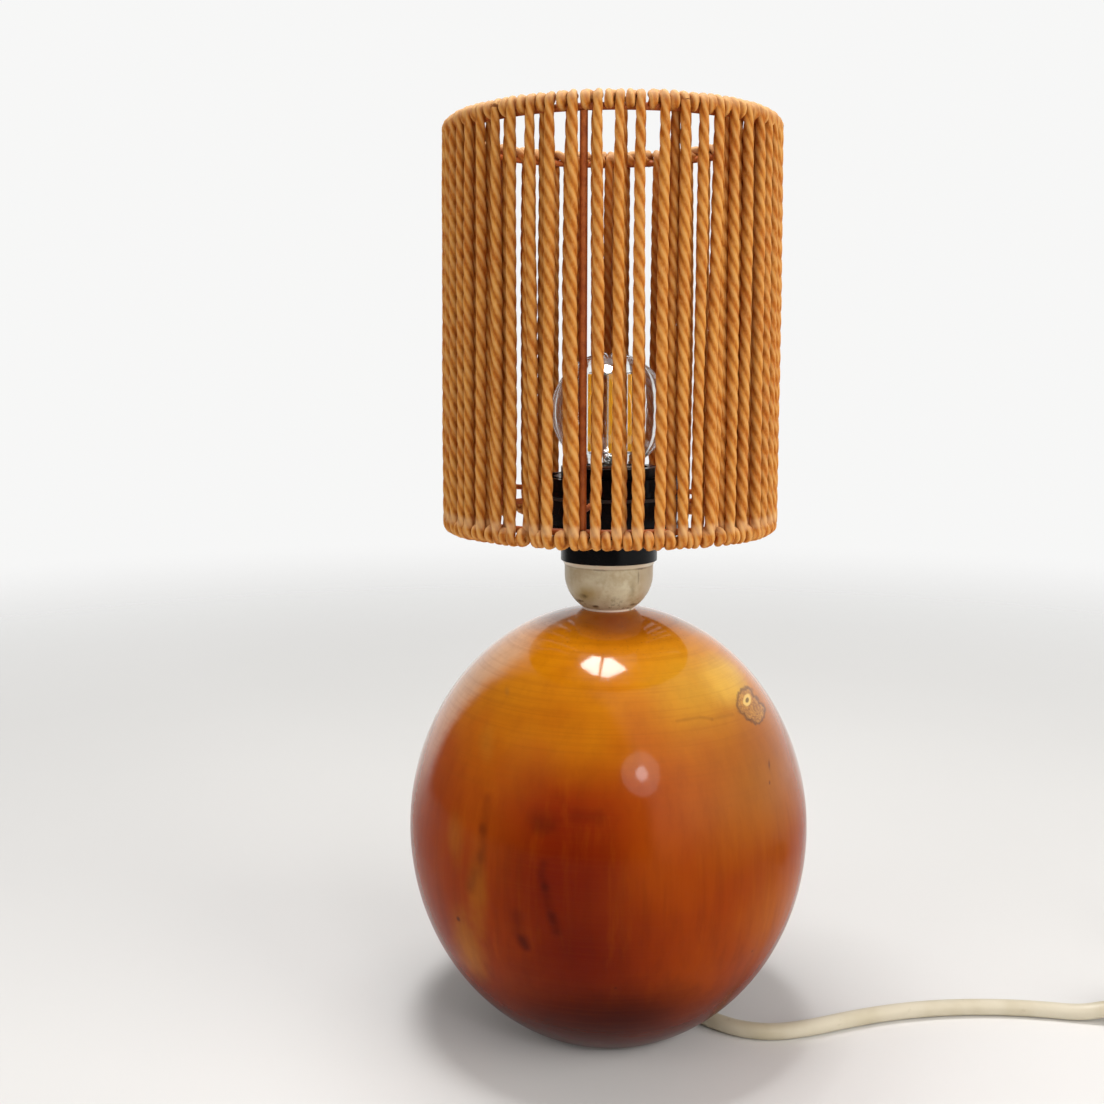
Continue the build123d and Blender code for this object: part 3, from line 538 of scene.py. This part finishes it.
def paper_cord():
    """Three plies of twisted paper: V runs round the cord, so the grooves stand at its thirds."""
    f = Finish("paper_cord", 0.60, Specular_IOR_Level=0.20)
    height = f.part("Z")
    across = f.apart(f.number("FRACT", f.times(f.part("Y", f.uv), 3.0)), 0.5)
    fibres = f.clouds(1.0, 4, 0.7, f.mapped((2400, 2400, 420)))
    patches = f.clouds(420, 4, 0.65)
    colour = f.blend(f.ranged(f.clouds(60, 4, 0.6), 0.34, 0.68), shade(190, 110, 28), shade(208, 136, 50))
    # A painted highlight on each ply's crest
    colour = f.blend(f.ranged(across, 0.0, 0.30, 0.50, 0.0), colour, shade(230, 180, 112))
    colour = f.blend(f.times(f.ranged(patches, 0.46, 0.66), 0.30), colour, shade(222, 168, 98))
    colour = f.blend(f.times(f.ranged(fibres, 0.45, 0.7), 0.35), colour, shade(228, 172, 98))
    # Painted shade in the grooves between the plies
    groove_shade = f.times(f.ranged(across, 0.22, 0.49), f.ranged(patches, 0.30, 0.62, 0.75, 0.45))
    colour = f.blend(groove_shade, colour, shade(150, 66, 8))
    # Painted shade on the stretches inside the shade, nearer its axis
    from_axis = f.vector("LENGTH", f.vector("MULTIPLY", f.place, (1, 1, 0)), out="Value")
    colour = f.blend(f.ranged(from_axis, 0.0612, 0.0632, 0.45, 0.0), colour, shade(164, 76, 12))
    # Painted highlights on the tops of the wraps round both rings
    low_wrap_highlight = f.ranged(f.apart(height, 0.2138), 0.0006, 0.0028, 0.42, 0.0)
    high_wrap_highlight = f.ranged(height, 0.3605, 0.3650, 0.0, 0.60)
    for wrap_highlight in (low_wrap_highlight, high_wrap_highlight):
        colour = f.blend(wrap_highlight, colour, shade(232, 192, 142))
    f.colour(colour)
    return f.bump(f.number("ADD", fibres, patches), 0.00016, 0.7).material


def flex_sheath():
    f = Finish("flex_sheath", 0.42)
    colour = f.blend(f.ranged(f.clouds(40, 3), 0.35, 0.7), shade(206, 197, 175), shade(190, 179, 152))
    grime = f.ranged(f.clouds(180, 5, 0.7), 0.60, 0.78)
    f.colour(f.blend(f.times(grime, 0.4), colour, shade(150, 136, 104)))
    return f.bump(f.clouds(700, 3), 0.00005, 0.4).material


finishes = {
    "turned_wood": varnished_wood(),
    "cream_plastic": cream_plastic(),
    "black_plastic": black_plastic(),
    "insert_plastic": moulded("insert_plastic", shade(222, 214, 192), shade(206, 196, 170)),
    "brass": plain_metal("brass", shade(214, 178, 96), shade(170, 132, 60), 0.30),
    "steel": plain_metal("zinc_steel", shade(196, 196, 194), shade(150, 149, 146), 0.32),
    "clear_glass": clear_glass(),
    "led_phosphor": led_phosphor(),
    "frame_wire": frame_wire(),
    "paper_cord": paper_cord(),
    "flex_sheath": flex_sheath(),
    "live_insulation": moulded("live_insulation", shade(104, 62, 36), shade(88, 50, 28)),
    "neutral_insulation": moulded("neutral_insulation", shade(40, 92, 168), shade(32, 76, 146)),
    "switch_and_plug": moulded("switch_and_plug", shade(226, 219, 198), shade(214, 206, 182), 0.34),
    "bulb_cap_metal": plain_metal("nickel_cap", shade(206, 203, 196), shade(170, 166, 156), 0.22),
}

for entry in frame["record"]["subparts"]:
    slots = frame["nodes"][entry["node"]].data.materials
    slots.clear()
    slots.append(finishes[entry["material_slot"]])

# The ring between the black shade rings is dark, unlike the rest of the shade's wire
dark_wire = moulded("dark_wire", shade(30, 26, 24), shade(52, 42, 34), 0.35)
frame["nodes"]["carrier_ring"].data.materials[0] = dark_wire


def linked(name, data):
    piece = bpy.data.objects.new(name, data)
    bpy.context.collection.objects.link(piece)
    return piece


def keep(piece, body, finish):
    """A new piece gets its finish and rides on its body."""
    piece.data.name = piece.name
    piece.data.materials.clear()
    piece.data.materials.append(finishes[finish])
    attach(piece, body)


# Flex


def smooth_line(name, points):
    """A round cord of the flex's diameter on one NURBS line."""
    curve = bpy.data.curves.new(name, "CURVE")
    curve.dimensions = "3D"
    spline = curve.splines.new("NURBS")
    spline.points.add(len(points) - 1)
    for point, place in zip(spline.points, points):
        point.co = (*place, 1)
    spline.order_u = 3
    spline.use_endpoint_u = True
    curve.resolution_u = 8
    curve.bevel_depth = flex_diameter / 2
    curve.bevel_resolution = 6
    curve.use_fill_caps = True
    return linked(name, curve)


def coil_points():
    """Half turns that spiral in on the table, climb a layer and spiral out on top."""
    centre_y = switch_line + coil_radius
    half_pitch = coil_pitch / 2
    innermost = coil_radius - coil_half_turns * half_pitch
    radii = [coil_radius - i * half_pitch for i in range(coil_half_turns + 1)]
    radii += [innermost - coil_dip]
    radii += [innermost + i * half_pitch for i in range(1, coil_half_turns)]
    heights = [flex_floor] * (coil_half_turns + 1) + [flex_floor + coil_layer] * coil_half_turns
    # The line runs inside its points, so they stand a little further out
    widen = 1 / (0.75 + 0.25 * math.cos(math.pi / coil_steps))
    points = []
    for index in range(2 * coil_half_turns):
        side = -1 if index % 2 == 0 else 1
        middle = centre_y + side * (radii[index] - radii[index + 1]) / 2
        across = (radii[index] + radii[index + 1]) / 2 * widen
        for step in range(coil_steps):
            t = (step + 0.5) / coil_steps
            angle = side * math.pi / 2 + t * math.pi
            rise = heights[index] + (heights[index + 1] - heights[index]) * t
            points.append((coil_centre_x + across * math.cos(angle), middle + across * math.sin(angle), rise))
    return points


def flex():
    """The flex in two lengths: ball to switch, and switch to plug with the coil between."""
    to_switch = [
        (0.0383, -0.0146, flex_floor),
        (0.0470, -0.0226, flex_floor),
        (0.0578, -0.0278, flex_floor),
        (0.0692, -0.0288, flex_floor),
        (0.0830, -0.0254, flex_floor),
        (0.0985, -0.0194, flex_floor),
        (0.1145, -0.0142, flex_floor),
        (0.1310, -0.0106, flex_floor),
        (0.1490, -0.0086, flex_floor),
        (0.1670, -0.0086, flex_floor),
        (0.1840, -0.0104, flex_floor),
        (0.1995, -0.0136, flex_floor),
        (0.2110, switch_line, switch_level),
        switch_front,
    ]
    lamp_end = smooth_line("flex_to_switch", to_switch)
    keep(lamp_end, "lamp", "flex_sheath")
    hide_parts("flex_run")
    lead = [
        switch_back,
        (0.2868, switch_line, switch_level),
        (0.2976, switch_line, flex_floor),
        (0.3084, switch_line, flex_floor),
    ]
    tail = [
        (0.3216, -0.0115, 0.0106),
        (0.3327, -0.0115, 0.0106),
        (0.3438, -0.01395, 0.0097),
        (0.3549, -0.0164, 0.0068),
        plug_entry,
    ]
    plug_end = smooth_line("flex_to_plug", lead + coil_points() + tail)
    keep(plug_end, "lamp", "flex_sheath")
    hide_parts("flex_lead", "flex_coil", "flex_tail")


# Shade


def give_or_take(amount):
    return random.uniform(-amount, amount)


def ply_profile():
    """The outline of three twisted plies, round the middle of the cord."""
    outline = bpy.data.curves.new("ply_outline", "CURVE")
    outline.dimensions = "2D"
    spline = outline.splines.new("POLY")
    spline.points.add(outline_points - 1)
    for i, point in enumerate(spline.points):
        angle = 2 * math.pi * i / outline_points
        lobe = abs(math.sin(1.5 * angle)) ** 0.8
        radius = cord_diameter / 2 * (1 - ply_depth + ply_depth * lobe)
        point.co = (radius * math.cos(angle), radius * math.sin(angle), 0, 1)
    spline.use_cyclic_u = True
    return linked("ply_outline", outline)


def twisted_cord(name, stations, profile):
    """A cord of three plies along the stations, each a point and a thickness."""
    curve = bpy.data.curves.new(name, "CURVE")
    curve.dimensions = "3D"
    curve.twist_mode = "MINIMUM"
    spline = curve.splines.new("POLY")
    spline.points.add(len(stations) - 1)
    along, last = 0.0, Vector(stations[0][0])
    for point, (place, thickness) in zip(spline.points, stations):
        along += (Vector(place) - last).length
        last = Vector(place)
        point.co = (*place, 1)
        point.radius = thickness
        point.tilt = -(2 * math.pi * along / cord_lay) % (2 * math.pi)
    curve.bevel_mode = "OBJECT"
    curve.bevel_object = profile
    curve.use_fill_caps = True
    line = linked(name + "_line", curve)
    mesh = bpy.data.meshes.new_from_object(line.evaluated_get(bpy.context.evaluated_depsgraph_get()))
    bpy.data.objects.remove(line)
    mesh.shade_smooth()
    return linked(name, mesh)


def around_rim(azimuth, angle, level):
    """A point of a wrap: azimuth round the lamp, angle round the ring's wire, from outside."""
    up = (level - rim_low) / (rim_high - rim_low)
    radius = rim_radius + rim_flare * (0.5 - up) + wrap_radius * math.cos(angle)
    return (radius * math.sin(azimuth), -radius * math.cos(azimuth), level + wrap_radius * math.sin(angle))


def wrap(keys, level, thickness):
    """Turns round a ring wire: each key gives the angle round the wire, in degrees, and the azimuth there."""
    stations = []
    for (angle, start), (next_angle, end) in zip(keys, keys[1:]):
        steps = max(2, round(abs(next_angle - angle) / wrap_step_degrees))
        for step in range(steps):
            t = step / steps
            turned = math.radians(angle + (next_angle - angle) * t)
            stations.append((around_rim(start + (end - start) * t, turned, level), thickness))
    return stations


def upright(start, end, angle, begin, finish, thickness, bow):
    """A straight stretch between the rings, a little bowed and uneven, drawn thin towards the upper one."""
    stations = []
    phase = random.uniform(0, 6.28)
    for step in range(upright_steps):
        t = step / upright_steps
        level = begin + (finish - begin) * t
        up = (level - rim_low) / (rim_high - rim_low)
        drawn = 1.03 - 0.17 * up**6 - 0.05 * (1 - up) ** 8
        uneven = 1 + 0.035 * math.sin(9 * t + phase) + 0.02 * math.sin(31 * t + 2 * phase)
        azimuth = start + (end - start) * t + bow * math.sin(math.pi * t) + 0.0025 * math.sin(7 * t + phase)
        stations.append((around_rim(azimuth, angle, level), thickness * drawn * uneven))
    return stations


def cord_azimuths():
    """Where every loop's outer and inner stretch stand, and the first two again to close the round."""
    outer = [math.radians(a) for a in front_cords]
    last_front = outer[-1]
    gap = (2 * math.pi - (last_front - outer[0])) / (back_loops + 1)
    for i in range(back_loops):
        outer.append(last_front + gap * (i + 1) + give_or_take(back_spread))
    inner = [math.radians(a) for a in cords_behind]
    inner += [a + give_or_take(inner_spread) for a in outer[len(front_cords) :]]
    for which, outward, inward in back_nudges:
        outer[which] += math.radians(outward)
        inner[which] += math.radians(inward)
    return [row + [a + 2 * math.pi for a in row[:2]] for row in (outer, inner)]


def cord_stations():
    """The whole cord, up and down round both rings, and the places where a piece of it ends."""
    outer, inner = cord_azimuths()
    stations = []
    breaks = [0]
    for k in range(len(front_cords) + back_loops):
        thick = random.uniform(1 - thickness_spread, 1 + thickness_spread)
        here, then = outer[k], outer[k + 1]
        lean = math.radians(front_leans[k]) if k < len(front_leans) else give_or_take(lean_spread)
        low_here = here + lean
        between = (here + then) / 2
        high_inner = inner[k + 1]
        low_inner = high_inner + give_or_take(lean_spread)
        stations += upright(here, low_here, outside, rim_high, rim_low, thick, give_or_take(outer_bow))
        under = [(0, low_here), (-90, low_here), (-260, between), (-450, between), (-540, low_inner)]
        stations += wrap(under, rim_low, thick * low_wrap_thickness)
        stations += upright(low_inner, high_inner, inside, rim_low, rim_high, thick, give_or_take(inner_bow))
        over = [(180, high_inner), (90, between), (-90, between), (-250, then), (-360, then)]
        stations += wrap(over, rim_high, thick * high_wrap_thickness)
        if (k + 1) % loops_per_piece == 0:
            breaks.append(len(stations))
    return stations, breaks


def shade_cords():
    """One cord with a wrap between its upright stretches, in pieces that the triangle limit allows."""
    stations, breaks = cord_stations()
    profile = ply_profile()
    for number, (start, end) in enumerate(zip(breaks, breaks[1:])):
        piece = twisted_cord(f"shade_cord_{number + 1}", stations[start : end + 1], profile)
        keep(piece, "shade", "paper_cord")
        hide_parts("cord_winding")
    bpy.data.objects.remove(profile)


# Floor, room, lamps and camera


def floor():
    """A pale round floor that fades out far from the lamp."""
    bm = bmesh.new()
    bmesh.ops.create_circle(bm, cap_ends=True, segments=96, radius=3.0)
    mesh = bpy.data.meshes.new("floor")
    bm.to_mesh(mesh)
    bm.free()
    linked("floor", mesh)
    f = Finish("pale_floor", 0.7, Specular_IOR_Level=0.2)
    f.colour(f.blend(f.clouds(3, 2), shade(222, 221, 219), shade(227, 226, 224)))
    far = f.ranged(f.distance((0, 0, 0), (1.5, 1.5, 1.5)), 0.20, 1.0)
    clear = f.nodes.new("ShaderNodeBsdfTransparent")
    faded_out = f.either(far, f.shader.outputs["BSDF"], clear.outputs["BSDF"])
    f.links.new(faded_out, f.nodes["Material Output"].inputs["Surface"])
    mesh.materials.append(f.material)


def room():
    """Soft light all around. The camera and glass see a pale room, and gloss one with a dark left side."""
    world = bpy.data.worlds.new("studio")
    world.use_nodes = True
    bpy.context.scene.world = world
    walls = Painter(world.node_tree)
    soft = walls.nodes["Background"]
    soft.inputs["Color"].default_value = (1.0, 0.985, 0.965, 1)
    soft.inputs["Strength"].default_value = 0.30
    ray = walls.nodes.new("ShaderNodeLightPath").outputs
    seen = walls.number("MAXIMUM", ray["Is Camera Ray"], ray["Is Glossy Ray"])
    seen = walls.number("MAXIMUM", seen, ray["Is Transmission Ray"])
    pale = walls.either(seen, soft.outputs[0], walls.glow((0.93, 0.93, 0.925, 1)))
    way = walls.nodes.new("ShaderNodeTexCoord").outputs["Generated"]
    left_front = walls.vector("DOT_PRODUCT", way, (-0.80, -0.60, 0.0), "Value")
    dark_side = walls.times(walls.ranged(left_front, 0.16, 0.32), ray["Is Glossy Ray"])
    shown = walls.either(dark_side, pale, walls.glow((0.16, 0.15, 0.15, 1)))
    walls.links.new(shown, walls.nodes["World Output"].inputs["Surface"])


def lamp_panel(name, place, target, size, power, colour, shape="RECTANGLE", lights=True, mirrored=True):
    """A flat lamp that faces its target, and that lights the lamp, is mirrored in its gloss, or both."""
    data = bpy.data.lights.new(name, "AREA")
    data.shape = shape
    data.size, data.size_y = size
    data.energy = power
    data.color = colour
    panel = linked(name, data)
    panel.location = place
    panel.rotation_euler = (Vector(target) - Vector(place)).to_track_quat("-Z", "Y").to_euler()
    panel.visible_diffuse = lights
    panel.visible_glossy = mirrored


def studio_lamps():
    white, cool, rosy = (1.0, 1.0, 1.0), (0.97, 0.95, 1.0), (1.0, 0.96, 0.98)
    warm, creamy = (1.0, 0.98, 0.94), (1.0, 0.98, 0.96)
    ball_crown, ball_front, middle = (0, 0, 0.16), (0, 0, 0.13), (0, 0, 0.18)
    lamp_panel("window_above", (-0.06, 0.07, 1.46), ball_crown, (0.40, 0.34), 12.5, white, mirrored=False)
    lamp_panel("window_front", (0.35, -1.02, 0.78), ball_front, (0.16, 0.16), 0.7, cool, "DISK")
    lamp_panel("window_front_halo", (0.36, -1.05, 0.80), ball_front, (0.48, 0.48), 1.3, rosy, "DISK")
    lamp_panel("soft_right", (1.5, -0.9, 0.8), middle, (1.3, 1.3), 23.0, warm, mirrored=False)
    lamp_panel("soft_left", (-1.6, -1.1, 1.0), middle, (1.3, 1.3), 11.0, creamy, mirrored=False)
    # The upper window as the varnish mirrors it, in front of the one that lights
    lamp_panel("window_mirrored", (-0.059, 0.069, 1.42), ball_crown, (0.33, 0.42), 15.0, white, lights=False)


def camera():
    data = bpy.data.cameras.new("camera")
    data.sensor_width = camera_sensor_mm
    data.lens = camera_lens_mm
    data.clip_start = 0.01
    seat = linked("camera", data)
    seat.location = camera_place
    seat.rotation_euler = (math.radians(90 - camera_dip_degrees), 0, 0)
    bpy.context.scene.camera = seat


flex()
shade_cords()
floor()
room()
studio_lamps()
camera()
bpy.context.scene.view_settings.view_transform = "Standard"
